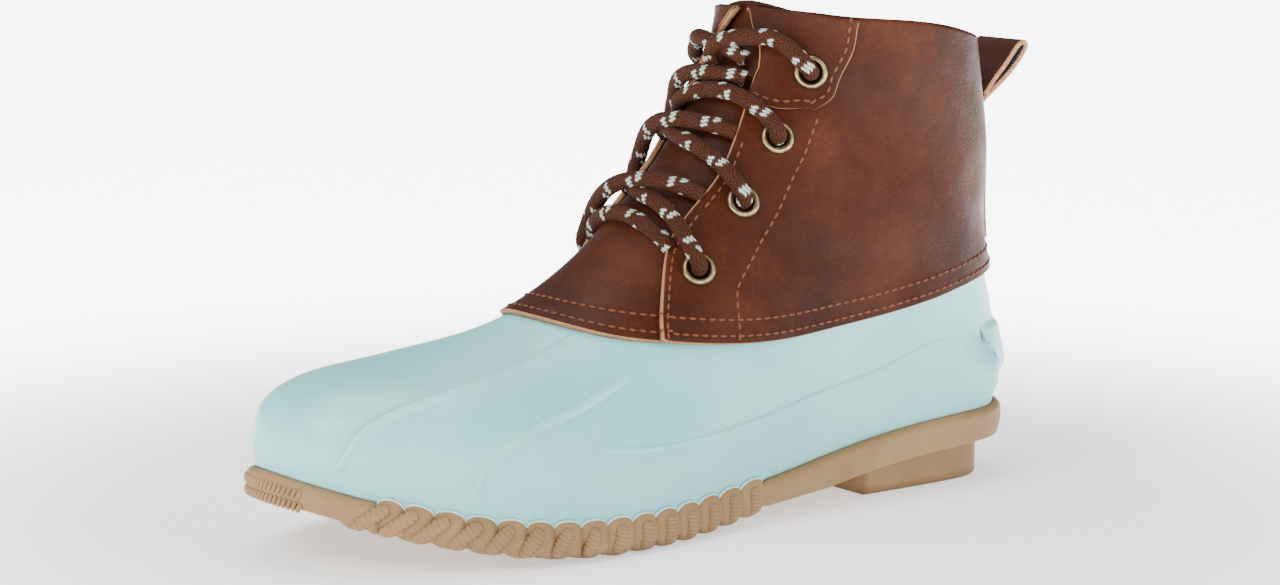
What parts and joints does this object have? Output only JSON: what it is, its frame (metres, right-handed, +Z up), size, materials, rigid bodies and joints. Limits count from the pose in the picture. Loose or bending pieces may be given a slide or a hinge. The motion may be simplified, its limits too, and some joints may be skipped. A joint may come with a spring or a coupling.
{
  "type": "duck boot",
  "caption": "Ankle-high lace-up duck boot for the left foot: rubber shell, lugged rubber sole, leather upper and pull loop.",
  "frame": {"origin": "middle of the boot's box in plan, on the floor under the heel and forefoot", "axes": "-Y from heel to toe, +X to the outer side of the left foot, +Z up"},
  "size_m": [0.1032, 0.2987, 0.1677],
  "materials": {
    "mint_rubber": "smooth satin moulded rubber",
    "tan_rubber": "matt moulded rubber",
    "brown_leather": "waxed, slightly mottled full-grain leather",
    "lining": "brushed textile",
    "antique_brass": "aged, softly polished",
    "lace_cord": "round braided cord"
  },
  "bodies": {
    "root": {"shell": "mint_rubber", "outsole": "tan_rubber", "upper": "brown_leather", "tongue": "brown_leather", "insole": "lining", "pull_loop": "brown_leather", "eyelet_outer_1": "antique_brass", "eyelet_outer_2": "antique_brass", "eyelet_outer_3": "antique_brass", "eyelet_outer_4": "antique_brass", "eyelet_inner_1": "antique_brass", "eyelet_inner_2": "antique_brass", "eyelet_inner_3": "antique_brass", "eyelet_inner_4": "antique_brass", "lace_bar": "lace_cord", "lace_cross_1": "lace_cord", "lace_cross_2": "lace_cord", "lace_cross_3": "lace_cord", "lace_cross_4": "lace_cord", "lace_top": "lace_cord"}
  },
  "joints": []
}
